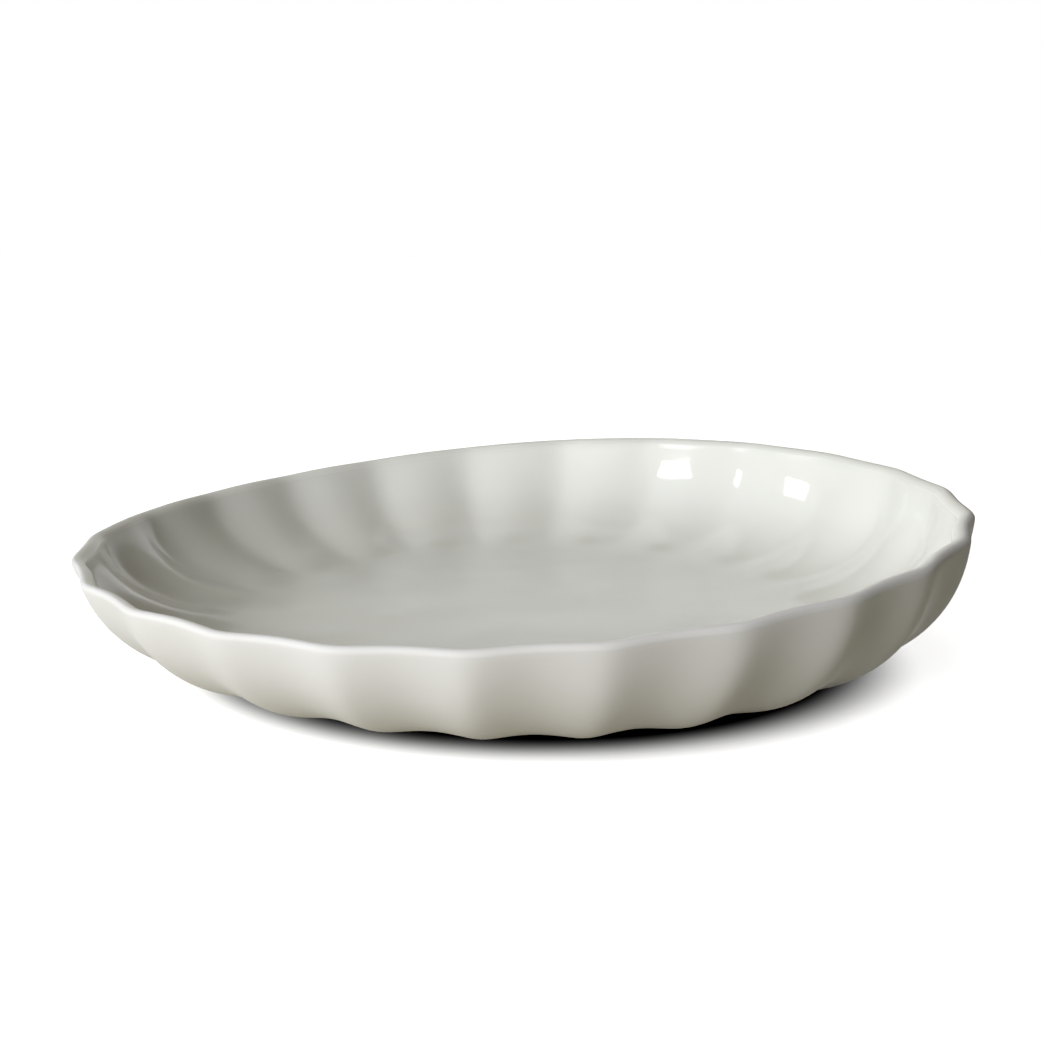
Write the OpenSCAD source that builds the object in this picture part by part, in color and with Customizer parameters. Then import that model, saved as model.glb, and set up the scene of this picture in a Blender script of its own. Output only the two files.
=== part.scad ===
// Round fluted porcelain dish for serving oysters. The cast body is bare outside and has a
// glossy glaze fused to its inside. Upright flutes run from the foot to the lip, hollow on the
// outside and swelling on the inside. The lip slants to one side and is slightly warped.
// Origin: centre of the foot, on the table. +Z up, the lip is highest towards +X.

/* [Dish] */
// Diameter across the ridges, at the lip's middle height
dish_d = 239.6; // [180:0.2:320]
// Diameter of the round standing outline
foot_d = 141; // [110:1:164]
// Height at which the wall would stand upright
upright_h = 42; // [40:0.5:60]
// Fullness of the outside's curve: 2 is an ellipse, more gives a rounder belly
fullness = 2.28; // [2:0.02:2.6]

/* [Lip] */
// Height of the lip's crest above the table, halfway between its lowest and highest sides
lip_h = 32.3; // [28:0.1:35]
// Height that the lip gains from its lowest to its highest side
lip_slant_h = 12.7; // [0:0.1:14]
// Direction of the lip's highest side, counted from +X
slant_angle = -12; // [-180:1:180]
// Height of a warp that rises and falls twice round the lip
lip_warp_h = 1.7; // [0:0.1:3]
// Direction of one high side of that warp, counted from +X
warp_angle = 32; // [-180:1:180]
// Height of a fainter warp that rises and falls three times round the lip
lip_wave_h = 1.4; // [0:0.1:2]
// Direction of one high side of the fainter warp, counted from +X
wave_angle = -42; // [-180:1:180]
// Thickness of the clay at the lip
lip_t = 3.6; // [2.4:0.1:5]

/* [Flutes] */
// Number of flutes round the dish
flute_count = 24; // [12:1:32]
// Direction of one ridge between two flutes, counted from +X
ridge_angle = -6; // [-15:0.5:15]
// Sideways place of the point from which the flutes fan out
flute_centre_x = 1.5; // [-10:0.1:10]
// Place of that point towards the back
flute_centre_y = -5.8; // [-10:0.1:10]
// Full depth of a flute, square to the wall
flute_depth = 2.4; // [0.4:0.1:3]
// How the flutes deepen from the foot to the lip: 1 is evenly, less is sooner
flute_growth = 0.6; // [0.2:0.05:2]
// Share of the flutes' depth that is lost again at the rounded lip
flute_loss_share = 0.42; // [0:0.01:0.8]
// Softness of the ridges, as a share of the flute's depth
ridge_soft_share = 0.45; // [0.1:0.01:0.8]
// Share of the inside's curve, counted from the floor, over which the flutes fade into the floor
flute_fade_share = 0.45; // [0.1:0.01:0.9]

/* [Floor] */
// Height of the clay floor inside the dish, above the table
floor_h = 4.4; // [3.6:0.1:8]
// Diameter of the flat floor inside
floor_d = 116; // [80:1:164]
// Fullness of the inside's curve: 2 is an ellipse, more gives a flatter bottom and a steeper wall
floor_fullness = 3.2; // [2:0.1:4]

/* [Foot] */
// Diameter of the shallow round recess under the floor
recess_d = 118; // [80:1:124]
// Depth of that recess
recess_h = 1.2; // [0.4:0.1:2]
// Width of the recess's sloping side
recess_slope_w = 2.4; // [0.6:0.1:4]

/* [Glaze] */
// Thickness of the glaze coat
glaze_t = 0.4; // [0.2:0.05:0.8]

/* [Hidden] */
// Length that the recess's cutter runs past the standing face
overrun = 2;
// How late the flutes lose depth towards the lip
loss_growth = 6;
// Rows of points up a wall, and over the lip from the outside to the inside
wall_steps = 8;
lip_steps = 6;
// First row of the lip that the glaze covers
glaze_first_step = 3;
// Upright lines of points to each flute
flute_steps = 6;

dish_r = dish_d / 2;
flute_pitch = 360 / flute_count;
lip_base_h = lip_h - lip_t / 2;
// Rays from the flutes' centre, one to each upright line of points
line_count = flute_count * flute_steps;
rays = [for (i = [0:line_count - 1]) ridge_angle + i * 360 / line_count];

// Each wall as base radius, base height, reach, rise and exponent of its curve
outer_curve = 2 / fullness;
inner_curve = 2 / floor_fullness;
inner_upright_h = upright_h - floor_h;
outer_reach = reach_for(dish_r - foot_d / 2, lip_base_h, upright_h, outer_curve);
inner_reach = reach_for(dish_r - lip_t - floor_d / 2, lip_base_h - floor_h, inner_upright_h, inner_curve);
outer_wall = [foot_d / 2, 0, outer_reach, upright_h, outer_curve];
inner_wall = [floor_d / 2, floor_h, inner_reach, inner_upright_h, inner_curve];

function base_r(wall) = wall[0];
function base_h(wall) = wall[1];
function reach(wall) = wall[2];
function rise(wall) = wall[3];
function curve(wall) = wall[4];

// Power that keeps the sign of its base
function power(base, exponent) = sign(base) * pow(abs(base), exponent);

function unit(v) = v / norm(v);

// Turn along a curve that reaches a given height above its base
function turn_at(height, rise, curve) = acos(power(1 - height / rise, 1 / curve));

// Full reach of a curve that has reached a width at a height
function reach_for(width, height, rise, curve) =
    width / power(sin(turn_at(height, rise, curve)), curve);

// Direction from the dish's centre in which a ray meets the lip's circle
function direction(ray) =
    let (along = flute_centre_x * cos(ray) + flute_centre_y * sin(ray))
    let (offset = norm([flute_centre_x, flute_centre_y]))
    let (length = sqrt(along * along + dish_r * dish_r - offset * offset) - along)
    atan2(flute_centre_y + length * sin(ray), flute_centre_x + length * cos(ray));

// Height of the lip's base on a ray
function lip_base(ray) =
    let (angle = direction(ray))
    lip_base_h
    + lip_slant_h / 2 * cos(angle - slant_angle)
    + lip_warp_h / 2 * cos(2 * (angle - warp_angle))
    + lip_wave_h / 2 * cos(3 * (angle - wave_angle));

// Share of the flutes' depth on a ray: 0 on a ridge, 1 in the middle of a flute
function flute(ray) =
    let (wave = sin((ray - ridge_angle) * 180 / flute_pitch))
    let (deepest = norm([1, ridge_soft_share]) - ridge_soft_share)
    (norm([wave, ridge_soft_share]) - ridge_soft_share) / deepest;

// Turn of a wall's curve at a share of the way from its base to the lip
function wall_turn(wall, ray, share) =
    share * turn_at(lip_base(ray) - base_h(wall), rise(wall), curve(wall));

// Direction up a wall's curve, as radius and height
function upward(wall, ray, share) =
    let (turn = wall_turn(wall, ray, share))
    let (slope = 2 - curve(wall))
    unit([reach(wall) * power(cos(turn), slope), rise(wall) * power(sin(turn), slope)]);

// Direction square to a wall's curve, into the hollow of the dish
function inward(wall, ray, share) =
    let (up = upward(wall, ray, share))
    [-up[1], up[0]];

// Point of a wall without flutes, as radius and height
function plain(wall, ray, share) =
    let (turn = wall_turn(wall, ray, share))
    [
        base_r(wall) + reach(wall) * power(sin(turn), curve(wall)),
        base_h(wall) + rise(wall) * (1 - power(cos(turn), curve(wall)))
    ];

// Depth of the flutes up a wall, which they partly lose again towards the lip
function flutes(ray, share) =
    let (kept = 1 - flute_loss_share * pow(share, loss_growth))
    flute_depth * pow(share, flute_growth) * kept * flute(ray);

// Smooth rise from 0 to 1
function eased(share) =
    let (s = min(share, 1))
    s * s * (3 - 2 * s);

function outside(ray, share) =
    plain(outer_wall, ray, share) + flutes(ray, share) * inward(outer_wall, ray, share);

function inside(ray, share) =
    let (depth = flutes(ray, share) * eased(share / flute_fade_share))
    plain(inner_wall, ray, share) + depth * inward(inner_wall, ray, share);

function lip_middle(ray) = (outside(ray, 1) + inside(ray, 1)) / 2;

// Point of the lip, which rounds over from the outside to the inside
function lip(ray, step) =
    let (turn = 180 * step / lip_steps)
    let (half = (outside(ray, 1) - inside(ray, 1)) / 2)
    lip_middle(ray) + half * cos(turn) + norm(half) * upward(outer_wall, ray, 1) * sin(turn);

// Point on top of the glaze over the wall
function glazed_inside(ray, share) = inside(ray, share) + glaze_t * inward(inner_wall, ray, share);

// Point on top of the glaze over the lip, where it thins out to nothing
function glazed_lip(ray, step) =
    let (thickness = glaze_t * (step - glaze_first_step) / (lip_steps - glaze_first_step))
    lip(ray, step) + thickness * unit(lip(ray, step) - lip_middle(ray));

// Line of the clay from the foot up the outside, over the lip and down to the floor
function clay_line(ray) = concat(
    [for (i = [0:wall_steps]) outside(ray, i / wall_steps)],
    [for (i = [1:lip_steps - 1]) lip(ray, i)],
    [for (i = [wall_steps:-1:0]) inside(ray, i / wall_steps)]
);

// Line of the glaze from the floor up to its thin edge on the lip, and back along the clay
function glaze_line(ray) = concat(
    [for (i = [0:wall_steps]) glazed_inside(ray, i / wall_steps)],
    [for (i = [lip_steps - 1:-1:glaze_first_step + 1]) glazed_lip(ray, i)],
    [for (i = [glaze_first_step:lip_steps - 1]) lip(ray, i)],
    [for (i = [wall_steps:-1:0]) inside(ray, i / wall_steps)]
);

// Closed solid through one upright line of points on every ray: its first and last rows are level
module shell(lines) {
    rows = len(lines[0]);
    points = [
        for (i = [0:line_count - 1])
            let (angle = direction(rays[i]))
            for (p = lines[i]) [p[0] * cos(angle), p[0] * sin(angle), p[1]]
    ];
    function at(line, row) = (line % line_count) * rows + row;
    bands = [
        for (i = [0:line_count - 1]) for (row = [0:rows - 2]) each [
            [at(i, row), at(i, row + 1), at(i + 1, row + 1)],
            [at(i, row), at(i + 1, row + 1), at(i + 1, row)]
        ]
    ];
    first_face = [for (i = [0:line_count - 1]) at(i, 0)];
    last_face = [for (i = [line_count - 1:-1:0]) at(i, rows - 1)];
    polyhedron(points, concat([first_face], bands, [last_face]));
}

// What is cut away under the floor
module recess() {
    recess_r = recess_d / 2;
    rotate_extrude($fn = line_count)
        polygon([
            [0, -overrun],
            [recess_r, -overrun],
            [recess_r, 0],
            [recess_r - recess_slope_w, recess_h],
            [0, recess_h]
        ]);
}

module porcelain_body() {
    color("whitesmoke")
        difference() {
            shell([for (ray = rays) clay_line(ray)]);
            recess();
        }
}

module inner_glaze() {
    color("white")
        shell([for (ray = rays) glaze_line(ray)]);
}

porcelain_body();
inner_glaze();
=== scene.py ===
import math
from collections import namedtuple

import bpy
import numpy as np
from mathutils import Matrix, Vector


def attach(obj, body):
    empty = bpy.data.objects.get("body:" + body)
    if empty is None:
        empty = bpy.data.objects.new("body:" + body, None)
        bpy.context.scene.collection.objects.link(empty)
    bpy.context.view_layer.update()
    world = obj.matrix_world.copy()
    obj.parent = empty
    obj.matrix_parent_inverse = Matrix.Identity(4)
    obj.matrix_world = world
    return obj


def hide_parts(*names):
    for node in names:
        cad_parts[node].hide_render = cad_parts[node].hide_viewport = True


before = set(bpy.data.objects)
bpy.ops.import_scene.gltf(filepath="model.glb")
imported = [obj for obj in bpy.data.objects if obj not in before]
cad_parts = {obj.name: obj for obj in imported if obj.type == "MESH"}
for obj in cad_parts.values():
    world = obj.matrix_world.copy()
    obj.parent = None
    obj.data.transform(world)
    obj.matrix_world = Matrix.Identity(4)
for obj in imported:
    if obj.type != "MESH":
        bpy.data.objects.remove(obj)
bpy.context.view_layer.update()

# Sizes of the dish in metres and angles in radians, the same as the CAD source's
DISH_D = 0.2396
FOOT_D = 0.141
UPRIGHT_H = 0.042
FULLNESS = 2.28
LIP_H = 0.0323
LIP_SLANT_H = 0.0127
SLANT_ANGLE = math.radians(-12)
LIP_WARP_H = 0.0017
WARP_ANGLE = math.radians(32)
LIP_WAVE_H = 0.0014
WAVE_ANGLE = math.radians(-42)
LIP_T = 0.0036
FLUTE_COUNT = 24
RIDGE_ANGLE = math.radians(-6)
FLUTE_CENTRE = (0.0015, -0.0058)
FLUTE_DEPTH = 0.0024
FLUTE_GROWTH = 0.6
FLUTE_LOSS_SHARE = 0.42
FLUTE_LOSS_GROWTH = 6
RIDGE_SOFT_SHARE = 0.45
FLOOR_H = 0.0044
FLOOR_D = 0.116
FLOOR_FULLNESS = 3.2
RECESS_D = 0.118
RECESS_H = 0.0012
RECESS_SLOPE_W = 0.0024
GLAZE_T = 0.0004

# Where the flutes end above the floor, as shares of the way up: sharper than in the CAD source
FLUTE_END_SHARE = 0.09
FLUTE_FADE_SHARE = 0.14
# Where the glaze ends on the lip, as a share of the way over it from the outside
GLAZE_EDGE_SHARE = 1 / 2
# How fully the glaze covers the lip, and the share of the wall below over which it becomes full
LIP_COVER = 0.45
FULL_COVER_SHARE = 0.12
# Where painted shade darkens the glaze at the foot of the flutes, as shares of the way up: middle
# and spread
FLUTE_SHADE_SHARE = 0.17
FLUTE_SHADE_SPREAD_SHARE = 0.09

# How finely the meshes are drawn
LINES_PER_FLUTE = 24
WALL_STEPS = 44
LIP_STEPS = 18
RECESS_STEPS = 6

# Values worked out from the sizes
LINES = FLUTE_COUNT * LINES_PER_FLUTE
RAYS = RIDGE_ANGLE + np.arange(LINES) * math.tau / LINES
LIP_BASE_H = LIP_H - LIP_T / 2
INNER_UPRIGHT_H = UPRIGHT_H - FLOOR_H
OUTER_CURVE = 2 / FULLNESS
INNER_CURVE = 2 / FLOOR_FULLNESS


def directions(rays):
    """Directions from the dish's centre in which rays from the flutes' centre meet the lip."""
    x, y = FLUTE_CENTRE
    along = x * np.cos(rays) + y * np.sin(rays)
    length = np.sqrt(along**2 + (DISH_D / 2) ** 2 - x**2 - y**2) - along
    return np.arctan2(y + length * np.sin(rays), x + length * np.cos(rays))


def turn_at(height, rise, curve):
    """Turn along a superellipse that reaches a height above its level base."""
    return np.arccos((1 - height / rise) ** (1 / curve))


def reach_for(width, height, rise, curve):
    """Full reach of a superellipse that has reached a width at a height."""
    return width / np.sin(turn_at(height, rise, curve)) ** curve


# Both walls are superellipses that start level and would end upright
Wall = namedtuple("Wall", "base_r base_h reach rise curve")
OUTER_WALL = Wall(
    base_r=FOOT_D / 2,
    base_h=0,
    reach=reach_for((DISH_D - FOOT_D) / 2, LIP_BASE_H, UPRIGHT_H, OUTER_CURVE),
    rise=UPRIGHT_H,
    curve=OUTER_CURVE,
)
INNER_WALL = Wall(
    base_r=FLOOR_D / 2,
    base_h=FLOOR_H,
    reach=reach_for(
        (DISH_D - FLOOR_D) / 2 - LIP_T, LIP_BASE_H - FLOOR_H, INNER_UPRIGHT_H, INNER_CURVE
    ),
    rise=INNER_UPRIGHT_H,
    curve=INNER_CURVE,
)

# Height of the lip's base and share of the flutes' depth, in every direction
ANGLES = directions(RAYS)
LIP_BASE = (
    LIP_BASE_H
    + LIP_SLANT_H / 2 * np.cos(ANGLES - SLANT_ANGLE)
    + LIP_WARP_H / 2 * np.cos(2 * (ANGLES - WARP_ANGLE))
    + LIP_WAVE_H / 2 * np.cos(3 * (ANGLES - WAVE_ANGLE))
)
WAVE = np.sin((RAYS - RIDGE_ANGLE) * FLUTE_COUNT / 2)
FLUTE = (np.hypot(WAVE, RIDGE_SOFT_SHARE) - RIDGE_SOFT_SHARE) / (
    math.hypot(1, RIDGE_SOFT_SHARE) - RIDGE_SOFT_SHARE
)


def unit(rows):
    """Rows of numbers, each scaled to length 1."""
    return rows / np.linalg.norm(rows, axis=1, keepdims=True)


def shares(steps):
    """Even shares from 0 to 1."""
    return np.linspace(0, 1, steps + 1)


def eased(share):
    """Smooth rise from 0 to 1."""
    s = min(max(share, 0), 1)
    return s * s * (3 - 2 * s)


def wall_turn(share, wall):
    """Turn of a wall's curve at a share of the way from its base to the lip."""
    return share * turn_at(LIP_BASE - wall.base_h, wall.rise, wall.curve)


def upward(share, wall):
    """Direction up a wall's curve, as radius and height."""
    turn = wall_turn(share, wall)
    slope = 2 - wall.curve
    out, up = wall.reach * np.cos(turn) ** slope, wall.rise * np.sin(turn) ** slope
    return unit(np.stack([out, up], 1))


def inward(share, wall):
    """Direction square to a wall's curve, into the hollow of the dish."""
    return upward(share, wall)[:, ::-1] * [-1, 1]


def wall_ring(share, wall, depth_share):
    """Ring of a fluted wall, as radius and height in every direction."""
    turn = wall_turn(share, wall)
    radius = wall.base_r + wall.reach * np.sin(turn) ** wall.curve
    height = wall.base_h + wall.rise * (1 - np.cos(turn) ** wall.curve)
    depth = FLUTE_DEPTH * depth_share * FLUTE
    return np.stack([radius, height], 1) + depth[:, None] * inward(share, wall)


def flute_share(share):
    """Share of the flutes' full depth, which they gain up the wall and partly lose at the lip."""
    return share**FLUTE_GROWTH * (1 - FLUTE_LOSS_SHARE * share**FLUTE_LOSS_GROWTH)


def outside(share):
    """Ring of the outside, fluted from the foot to the lip."""
    return wall_ring(share, OUTER_WALL, flute_share(share))


def inside(share):
    """Ring of the inside, where the flutes fade into the smooth floor."""
    fade = eased((share - FLUTE_END_SHARE) / FLUTE_FADE_SHARE)
    return wall_ring(share, INNER_WALL, flute_share(share) * fade)


LIP_LEAN = upward(1, OUTER_WALL)
LIP_MIDDLE = (outside(1) + inside(1)) / 2
LIP_HALF = (outside(1) - inside(1)) / 2


def lip(share):
    """Ring of the lip, which rounds over from the outside to the inside."""
    turn = math.pi * share
    return LIP_MIDDLE + LIP_HALF * math.cos(turn) + LIP_T / 2 * LIP_LEAN * math.sin(turn)


def past_edge(share):
    """Share of the way from the glaze's edge on the lip to the inside."""
    return (share - GLAZE_EDGE_SHARE) / (1 - GLAZE_EDGE_SHARE)


def glazed_lip(share):
    """Ring on top of the glaze over the lip, where it thins out to nothing."""
    return lip(share) + GLAZE_T * past_edge(share) ** 2 * unit(lip(share) - LIP_MIDDLE)


def glazed_inside(share):
    """Ring on top of the glaze over the wall."""
    return inside(share) + GLAZE_T * inward(share, INNER_WALL)


def level_ring(radius, height):
    """Round ring at one height."""
    return np.stack([np.full(LINES, radius), np.full(LINES, height)], 1)


def cover(share):
    """How fully the glaze covers a ring of the wall: less just below the lip."""
    return min(LIP_COVER + (1 - LIP_COVER) * (1 - share) / FULL_COVER_SHARE, 1)


def flute_foot_shade(share):
    """How much painted shade darkens the glaze on a ring: most at the foot of each flute, above the
    floor.
    """
    return FLUTE * math.exp(-(((share - FLUTE_SHADE_SHARE) / FLUTE_SHADE_SPREAD_SHARE) ** 2))


def placed(ring):
    """Points in space of a ring that is given as radius and height."""
    radius, height = ring.T
    return np.stack([radius * np.cos(ANGLES), radius * np.sin(ANGLES), height], 1)


def centre_of(ring):
    """Point on the dish's axis at a ring's mean height."""
    return [[0, 0, ring[:, 1].mean()]]


def first_point(ring):
    """Number of a ring's first point in a lofted mesh, which starts with a centre point."""
    return 1 + ring * LINES


def add_mesh(name, points, faces, material):
    """New mesh object of one material."""
    mesh = bpy.data.meshes.new(name)
    mesh.from_pydata(points, [], faces)
    mesh.materials.append(material)
    piece = bpy.data.objects.new(name, mesh)
    bpy.context.scene.collection.objects.link(piece)
    return piece


def lofted(name, rings, material):
    """Closed smooth mesh through rings of points, with both end rings closed to a centre point."""
    points = [centre_of(rings[0]), *(placed(ring) for ring in rings), centre_of(rings[-1])]
    sides = [(i, (i + 1) % LINES) for i in range(LINES)]
    first = first_point(0)
    faces = [(0, first + b, first + a) for a, b in sides]
    for ring in range(len(rings) - 1):
        low, high = first_point(ring), first_point(ring + 1)
        faces += [(low + a, low + b, high + b, high + a) for a, b in sides]
    last, end = first_point(len(rings) - 1), first_point(len(rings))
    faces += [(last + a, last + b, end) for a, b in sides]
    piece = add_mesh(name, np.concatenate(points).tolist(), faces, material)
    piece.data.shade_smooth()
    return piece


def sharpen_ring(piece, ring):
    """Break the smooth shading along one ring of a lofted piece."""
    of_ring = range(first_point(ring), first_point(ring + 1))
    for edge in piece.data.edges:
        if edge.vertices[0] in of_ring and edge.vertices[1] in of_ring:
            edge.use_edge_sharp = True


def add_layer(piece, name, ring_values):
    """Store a value on each point of a lofted piece, from one value or one row to each ring."""
    rows = [np.broadcast_to(values, LINES) for values in ring_values]
    values = np.concatenate([[rows[0].mean()], *rows, [rows[-1].mean()]])
    layer = piece.data.attributes.new(name, "FLOAT", "POINT")
    layer.data.foreach_set("value", values.astype(np.float32))


def node_of(tree, kind, **values):
    """New shader node with the given input values."""
    node = tree.nodes.new(kind)
    for name, value in values.items():
        node.inputs[name.replace("_", " ")].default_value = value
    return node


def new_material(name):
    """New material with its node tree and shader."""
    material = bpy.data.materials.new(name)
    material.use_nodes = True
    return material, material.node_tree, material.node_tree.nodes["Principled BSDF"]


def object_place(tree):
    """Place on the object, in metres."""
    return tree.nodes.new("ShaderNodeTexCoord").outputs["Object"]


def height_of(tree, place):
    """Height of a place."""
    node = tree.nodes.new("ShaderNodeSeparateXYZ")
    tree.links.new(place, node.inputs["Vector"])
    return node.outputs["Z"]


def layer_value(tree, name):
    """Value that is stored on the points of the mesh."""
    node = tree.nodes.new("ShaderNodeAttribute")
    node.attribute_name = name
    return node.outputs["Fac"]


def noise(tree, place, scale, detail):
    """Cloudy pattern between 0 and 1 with so many patches to a metre."""
    node = node_of(tree, "ShaderNodeTexNoise", Scale=scale, Detail=detail)
    tree.links.new(place, node.inputs["Vector"])
    return node.outputs["Fac"]


def ranged(tree, value, low, high, at_low, at_high):
    """Value that goes from one end to the other while the input goes from low to high."""
    ends = {"From_Min": low, "From_Max": high, "To_Min": at_low, "To_Max": at_high}
    node = node_of(tree, "ShaderNodeMapRange", **ends)
    tree.links.new(value, node.inputs["Value"])
    return node.outputs["Result"]


def combined(tree, operation, first, second):
    """Result of an operation on two values."""
    node = tree.nodes.new("ShaderNodeMath")
    node.operation = operation
    tree.links.new(first, node.inputs[0])
    tree.links.new(second, node.inputs[1])
    return node.outputs["Value"]


def measured(tree, operation, place, other=None):
    """Result of a vector operation on a place, with a fixed second vector where it takes one."""
    node = tree.nodes.new("ShaderNodeVectorMath")
    node.operation = operation
    tree.links.new(place, node.inputs[0])
    if other is not None:
        node.inputs[1].default_value = other
    return node.outputs["Value" if operation in ("LENGTH", "DOT_PRODUCT") else "Vector"]


def mixed(tree, factor, first, second):
    """Mix of two colours, each a fixed colour or another node's output."""
    node = tree.nodes.new("ShaderNodeMixRGB")
    tree.links.new(factor, node.inputs["Fac"])
    for socket, colour in (("Color1", first), ("Color2", second)):
        if isinstance(colour, tuple):
            node.inputs[socket].default_value = (*colour, 1)
        else:
            tree.links.new(colour, node.inputs[socket])
    return node.outputs["Color"]


def bumped(tree, height, distance, before=None):
    """Surface direction over bumps of a height in metres, on top of earlier bumps if given."""
    node = node_of(tree, "ShaderNodeBump", Strength=1, Distance=distance)
    tree.links.new(height, node.inputs["Height"])
    if before is not None:
        tree.links.new(before, node.inputs["Normal"])
    return node.outputs["Normal"]


# Range that most of a cloudy pattern lies in
NOISE_RANGE = (0.3, 0.7)

# Bare porcelain: colours, shine, and heights of its grain and dents
BODY_COLOUR = (0.80, 0.79, 0.77)
BODY_CLOUD_COLOUR = (0.775, 0.762, 0.737)
BODY_CLOUD_RANGE = (0.35, 0.7)
BODY_ROUGHNESS = (0.52, 0.66)
BODY_SPECULAR = 0.25
BODY_GRAIN_H = 0.000002
BODY_DENT_H = 0.00006
# Its patterns, as patches to a metre and detail
BODY_CLOUDS = (30, 3)
BODY_GRAIN = (1600, 2)
BODY_DENTS = (55, 1)
# Its specks: colour, possible places to a metre, radius, and draw from which a place has one
SPECK_COLOUR = (0.20, 0.16, 0.11)
SPECKS_PER_M = 38
SPECK_R = 0.00055
SPECK_DRAW = (0.86, 0.90)


def speck_mask(tree, place):
    """1 inside a few small round specks, else 0."""
    cells = node_of(tree, "ShaderNodeTexVoronoi", Scale=SPECKS_PER_M)
    tree.links.new(place, cells.inputs["Vector"])
    radius = SPECK_R * SPECKS_PER_M
    near = ranged(tree, cells.outputs["Distance"], radius / 2, radius, 1, 0)
    drawn = tree.nodes.new("ShaderNodeSeparateColor")
    tree.links.new(cells.outputs["Color"], drawn.inputs["Color"])
    rare = ranged(tree, drawn.outputs["Red"], *SPECK_DRAW, 0, 1)
    return combined(tree, "MULTIPLY", near, rare)


def bare_porcelain():
    """Matte unglazed porcelain: fine grain, faint clouding, soft dents and a few dark specks."""
    material, tree, shader = new_material("bare_porcelain")
    link = tree.links.new
    place = object_place(tree)
    clouds = ranged(tree, noise(tree, place, *BODY_CLOUDS), *BODY_CLOUD_RANGE, 0, 1)
    grain = noise(tree, place, *BODY_GRAIN)
    clay = mixed(tree, clouds, BODY_COLOUR, BODY_CLOUD_COLOUR)
    link(mixed(tree, speck_mask(tree, place), clay, SPECK_COLOUR), shader.inputs["Base Color"])
    link(ranged(tree, grain, *NOISE_RANGE, *BODY_ROUGHNESS), shader.inputs["Roughness"])
    shader.inputs["Specular IOR Level"].default_value = BODY_SPECULAR
    dents = bumped(tree, noise(tree, place, *BODY_DENTS), BODY_DENT_H)
    link(bumped(tree, grain, BODY_GRAIN_H, dents), shader.inputs["Normal"])
    return material


# Glaze: colours where it is thin and on the floor, and painted shade at the foot of the flutes
GLAZE_COLOUR = (0.80, 0.795, 0.742)
GLAZE_POOL_COLOUR = (0.795, 0.80, 0.75)
FLUTE_SHADE_COLOUR = (0.725, 0.725, 0.67)
# Heights between which the pool on the floor thins out, and how full it is from place to place
POOL_H = (0.005, 0.013)
POOL_FULLNESS = (0.4, 1)
# Its shine on the wall, on the worn floor and at its thin edge, and the height of its bumps
GLAZE_ROUGHNESS = (0.06, 0.11)
WORN_ROUGHNESS = 0.13
EDGE_ROUGHNESS = 0.5
GLAZE_IOR = 1.5
GLAZE_WAVE_H = 0.00045
GLAZE_PEEL_H = 0.000001
# Its patterns, as patches to a metre and detail
GLAZE_CLOUDS = (34, 2)
GLAZE_SMEARS = (90, 3)
GLAZE_WAVES = (38, 1)
GLAZE_PEEL = (700, 1)


def clear_glaze():
    """Glossy clear glaze over white porcelain: wavy, pooled low down, with painted shade at the
    foot of the flutes, dull where thin or worn.
    """
    material, tree, shader = new_material("clear_glaze")
    link = tree.links.new
    place = object_place(tree)
    low = ranged(tree, height_of(tree, place), *POOL_H, 1, 0)
    clouds = ranged(tree, noise(tree, place, *GLAZE_CLOUDS), *NOISE_RANGE, *POOL_FULLNESS)
    pool = combined(tree, "MULTIPLY", low, clouds)
    colour = mixed(tree, pool, GLAZE_COLOUR, GLAZE_POOL_COLOUR)
    # Painted shade: darker glaze at the foot of each flute
    colour = mixed(tree, layer_value(tree, "flute_foot_shade"), colour, FLUTE_SHADE_COLOUR)
    link(colour, shader.inputs["Base Color"])
    smears = ranged(tree, noise(tree, place, *GLAZE_SMEARS), *NOISE_RANGE, *GLAZE_ROUGHNESS)
    worn = combined(tree, "MAXIMUM", smears, ranged(tree, low, 0, 1, 0, WORN_ROUGHNESS))
    edge = ranged(tree, layer_value(tree, "cover"), 0, 1, EDGE_ROUGHNESS, 0)
    link(combined(tree, "MAXIMUM", worn, edge), shader.inputs["Roughness"])
    shader.inputs["IOR"].default_value = GLAZE_IOR
    waves = bumped(tree, noise(tree, place, *GLAZE_WAVES), GLAZE_WAVE_H)
    peel = bumped(tree, noise(tree, place, *GLAZE_PEEL), GLAZE_PEEL_H, waves)
    link(peel, shader.inputs["Normal"])
    return material


def dish_body():
    """Porcelain body, from the recess under it up the outside, over the lip and down inside."""
    rings = []
    for s in shares(RECESS_STEPS):
        radius = RECESS_D / 2 - RECESS_SLOPE_W * (1 - s)
        rings.append(level_ring(radius, RECESS_H * (1 + math.cos(math.pi * s)) / 2))
    rings += [outside(s) for s in shares(WALL_STEPS)]
    rings += [lip(s) for s in shares(LIP_STEPS)[1:-1]]
    rings += [inside(s) for s in reversed(shares(WALL_STEPS))]
    return lofted("dish_body", rings, bare_porcelain())


def glaze_coat():
    """Glaze, from the floor up along the clay to its edge on the lip, and back down on top."""
    up_wall = shares(WALL_STEPS)
    down_wall = up_wall[::-1]
    lip_shares = shares(LIP_STEPS)[round(LIP_STEPS * GLAZE_EDGE_SHARE) :]
    over_lip = lip_shares[1:-1]
    rings = [inside(s) for s in up_wall]
    rings += [lip(s) for s in reversed(lip_shares[:-1])]
    edge_ring = len(rings) - 1
    rings += [glazed_lip(s) for s in over_lip]
    first_wall_ring = len(rings)
    rings += [glazed_inside(s) for s in down_wall]
    coat = lofted("glaze_coat", rings, clear_glaze())
    sharpen_ring(coat, edge_ring)
    lip_covers = [LIP_COVER * past_edge(s) for s in over_lip]
    add_layer(coat, "cover", [1] * edge_ring + [0] + lip_covers + [cover(s) for s in down_wall])
    # Painted shade at the foot of each flute, stored on the points of the coat
    add_layer(coat, "flute_foot_shade", [0] * first_wall_ring + [flute_foot_shade(s) for s in down_wall])
    return coat


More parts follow.
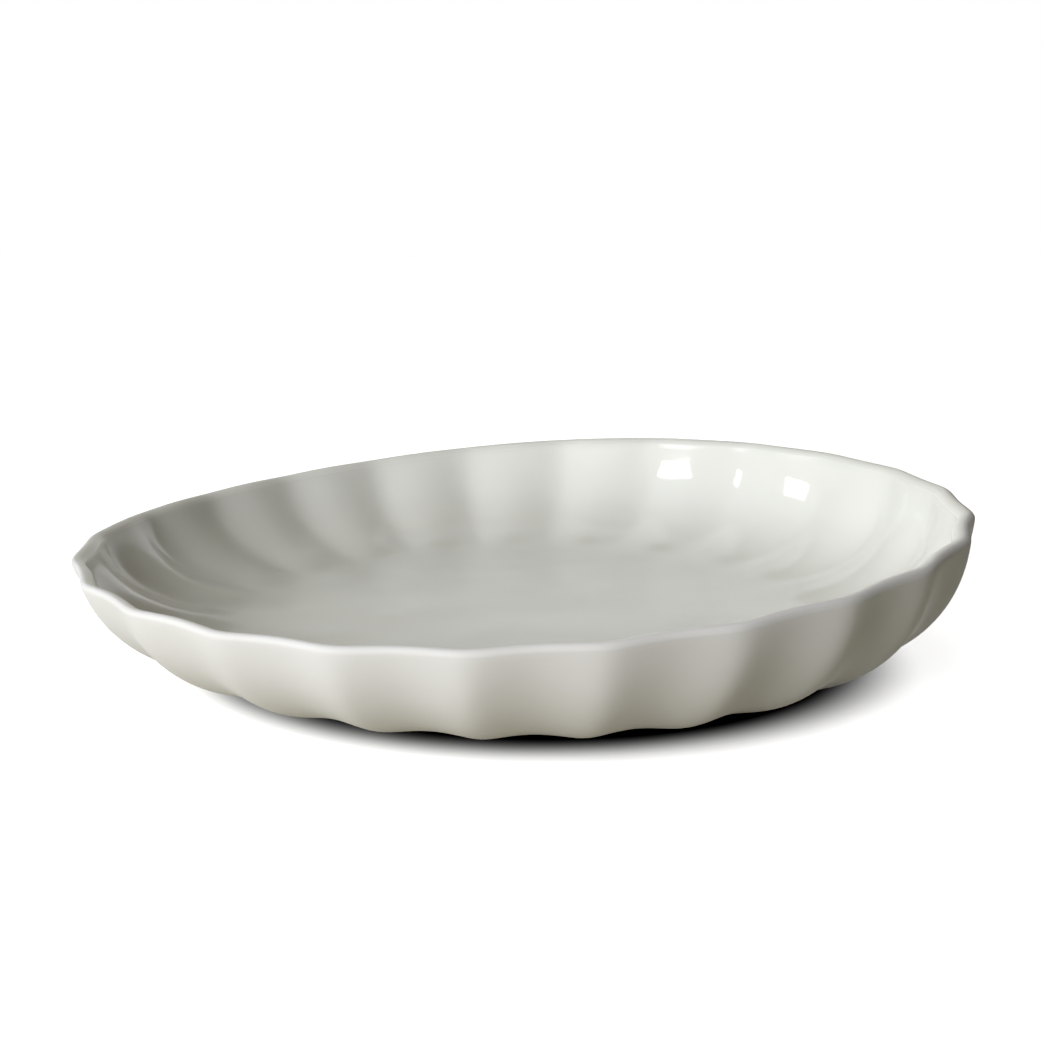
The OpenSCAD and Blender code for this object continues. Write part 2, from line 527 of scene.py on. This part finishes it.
body = dish_body()
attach(body, "root")
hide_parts("porcelain_body")

glaze = glaze_coat()
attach(glaze, "root")
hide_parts("inner_glaze")


WHITE = (1.0, 1.0, 1.0)
# Floor: width, colour in which it bounces light, and its lit and its own white to the camera
FLOOR_SIZE = 2.4
FLOOR_COLOUR = (0.44, 0.405, 0.27)
FLOOR_WHITE = 0.8
FLOOR_GLOW = 0.88
# Painted close shadows under the dish: middle, stretch, and radii between which each one lightens
PAINTED_SHADOWS = (
    ((0.007, -0.02, 0.0), (1.18, 1.0, 1.0), 0.0642, 0.085),
    ((0.0, 0.0, 0.0), (1.0, 1.0, 1.0), 0.074, 0.098),
)
# Faint light from all round
FILL_COLOUR = (1.0, 0.95, 0.86)
FILL_STRENGTH = 0.02
# Backdrop: white to the camera, and mirrored white low at the back and warm grey elsewhere
BACKDROP_GREY = (0.38, 0.36, 0.29)
BACKDROP_SLOPE = (-0.2, -0.6, 0.6)
BACKDROP_RANGE = (-0.45, -0.33)
# Soft lamps: name, bearing, elevation, distance, width, height, power, colour, mirrored or not
LAMPS = (
    ("key", 199.6, 21.0, 1.5, 0.43, 0.52, 6.6, (0.93, 0.965, 1.0), True),
    ("front", 239, 18.5, 1.8, 0.7, 0.9, 26.3, (0.96, 0.97, 1.0), False),
    ("left", 165, 24, 1.8, 0.7, 0.7, 3.1, (0.8, 0.92, 1.0), False),
    ("back", 90, 58, 1.8, 0.9, 0.7, 5.5, (1.0, 0.97, 0.86), False),
    ("rear", 97, 15, 1.8, 0.9, 0.6, 9.0, (1.0, 0.985, 0.95), False),
)


def seen_rays(tree):
    """Two masks: rays straight from the camera, and rays that are mirrored or pass through."""
    path = tree.nodes.new("ShaderNodeLightPath").outputs
    mirrored = combined(tree, "MAXIMUM", path["Is Glossy Ray"], path["Is Transmission Ray"])
    return path["Is Camera Ray"], mirrored


def openness_of(tree, centre, stretch, inner_r, outer_r):
    """Soft step over the floor, from 0 in the middle of a painted shadow to 1 outside it."""
    offset = measured(tree, "SUBTRACT", object_place(tree), centre)
    distance = measured(tree, "LENGTH", measured(tree, "DIVIDE", offset, stretch))
    step = ranged(tree, distance, inner_r, outer_r, 0, 1)
    step.node.interpolation_type = "SMOOTHSTEP"
    return step


def floor_material():
    """Floor that bounces warm grey light, but is white with painted close shadows to camera and
    mirrors.
    """
    material, tree, shader = new_material("floor")
    tree.nodes.remove(shader)
    link = tree.links.new
    # Painted close shadows: the floor darkens towards the space under the dish
    openness = combined(tree, "MULTIPLY", *(openness_of(tree, *shadow) for shadow in PAINTED_SHADOWS))
    straight, mirrored = seen_rays(tree)
    lit = tree.nodes.new("ShaderNodeBsdfDiffuse")
    shown = ranged(tree, openness, 0, 1, 0, FLOOR_WHITE)
    link(mixed(tree, straight, FLOOR_COLOUR, shown), lit.inputs["Color"])
    glow = node_of(tree, "ShaderNodeEmission", Color=(*WHITE, 1))
    level = combined(tree, "ADD", ranged(tree, straight, 0, 1, 0, FLOOR_GLOW), mirrored)
    link(combined(tree, "MULTIPLY", openness, level), glow.inputs["Strength"])
    unlit = tree.nodes.new("ShaderNodeMixShader")
    link(mirrored, unlit.inputs["Fac"])
    link(lit.outputs["BSDF"], unlit.inputs[1])
    both = tree.nodes.new("ShaderNodeAddShader")
    link(unlit.outputs["Shader"], both.inputs[0])
    link(glow.outputs["Emission"], both.inputs[1])
    link(both.outputs["Shader"], tree.nodes["Material Output"].inputs["Surface"])
    return material


def add_floor():
    """Square floor under the dish."""
    half = FLOOR_SIZE / 2
    corners = [(-half, -half, 0), (half, -half, 0), (half, half, 0), (-half, half, 0)]
    floor = add_mesh("floor", corners, [(0, 1, 2, 3)], floor_material())


def add_world():
    """Faint even light, behind a backdrop that only the camera and mirrors see."""
    world = bpy.data.worlds.new("studio")
    bpy.context.scene.world = world
    world.use_nodes = True
    tree = world.node_tree
    link = tree.links.new
    fill = tree.nodes["Background"]
    fill.inputs["Color"].default_value = (*FILL_COLOUR, 1)
    fill.inputs["Strength"].default_value = FILL_STRENGTH
    backdrop = tree.nodes.new("ShaderNodeBackground")
    outward = tree.nodes.new("ShaderNodeTexCoord").outputs["Generated"]
    along = measured(tree, "DOT_PRODUCT", outward, BACKDROP_SLOPE)
    straight, mirrored = seen_rays(tree)
    greyness = combined(tree, "MULTIPLY", ranged(tree, along, *BACKDROP_RANGE, 0, 1), mirrored)
    link(mixed(tree, greyness, WHITE, BACKDROP_GREY), backdrop.inputs["Color"])
    mix = tree.nodes.new("ShaderNodeMixShader")
    link(combined(tree, "MAXIMUM", straight, mirrored), mix.inputs["Fac"])
    link(fill.outputs["Background"], mix.inputs[1])
    link(backdrop.outputs["Background"], mix.inputs[2])
    link(mix.outputs["Shader"], tree.nodes["World Output"].inputs["Surface"])


def add_softbox(name, bearing, elevation, distance, width, height, power, colour, mirrored):
    """Rectangular lamp that faces the dish from a bearing and an elevation in degrees."""
    data = bpy.data.lights.new(name, "AREA")
    data.shape = "RECTANGLE"
    data.size, data.size_y = width, height
    data.energy = power
    data.color = colour
    turn, tilt = math.radians(bearing), math.radians(elevation)
    level = math.cos(tilt)
    towards = Vector((level * math.cos(turn), level * math.sin(turn), math.sin(tilt)))
    lamp = bpy.data.objects.new(name, data)
    lamp.location = towards * distance
    lamp.rotation_mode = "QUATERNION"
    lamp.rotation_quaternion = towards.to_track_quat("Z", "Y")
    lamp.visible_glossy = mirrored
    bpy.context.scene.collection.objects.link(lamp)


add_floor()
add_world()
for lamp in LAMPS:
    add_softbox(*lamp)

# Camera at the photograph's viewing angle
IMAGE_W = 1042
FOCAL_PX = 1776
SENSOR_MM = 36
CLIP_START = 0.01
CAMERA_PLACE = (0.0007, -0.4706, 0.1424)
CAMERA_PITCH = math.radians(13.23)


def add_camera():
    """Camera that looks down at the dish from the front."""
    data = bpy.data.cameras.new("camera")
    data.sensor_width = SENSOR_MM
    data.lens = FOCAL_PX * SENSOR_MM / IMAGE_W
    data.clip_start = CLIP_START
    camera = bpy.data.objects.new("camera", data)
    camera.location = CAMERA_PLACE
    camera.rotation_euler = (math.pi / 2 - CAMERA_PITCH, 0, 0)
    bpy.context.scene.collection.objects.link(camera)
    bpy.context.scene.camera = camera


add_camera()
bpy.context.scene.view_settings.view_transform = "Standard"
